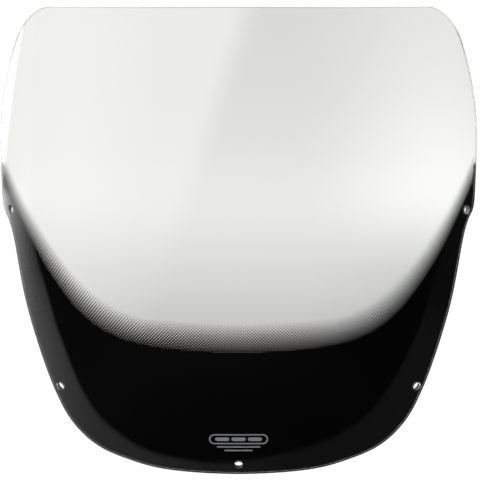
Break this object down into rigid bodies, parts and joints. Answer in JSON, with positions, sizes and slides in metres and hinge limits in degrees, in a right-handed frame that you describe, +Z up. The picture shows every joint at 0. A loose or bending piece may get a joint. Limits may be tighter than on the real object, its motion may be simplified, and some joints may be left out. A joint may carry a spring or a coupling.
{
  "type": "motorcycle windshield screen",
  "caption": "Clear wrapped motorcycle windshield screen with a black printed lower border, a dot fade and drilled screw holes.",
  "frame": {"origin": "middle of the bottom screw hole on the outer face", "axes": "+X towards the viewer's right across the width, +Z up towards the top edge, +Y away from the outer convex face; X = 0 is the plane of symmetry"},
  "size_m": [0.4378, 0.1282, 0.4249],
  "materials": {
    "clear_acrylic": "polished clear acrylic",
    "black_ink": "gloss black screen print seen through the sheet",
    "dotted_ink": "black halftone dots fading to clear",
    "silver_ink": "silver screen print seen through the sheet"
  },
  "bodies": {
    "root": {"screen_sheet": "clear_acrylic", "border_print": "black_ink", "fade_print": "dotted_ink", "badge_print": "silver_ink"}
  },
  "joints": []
}
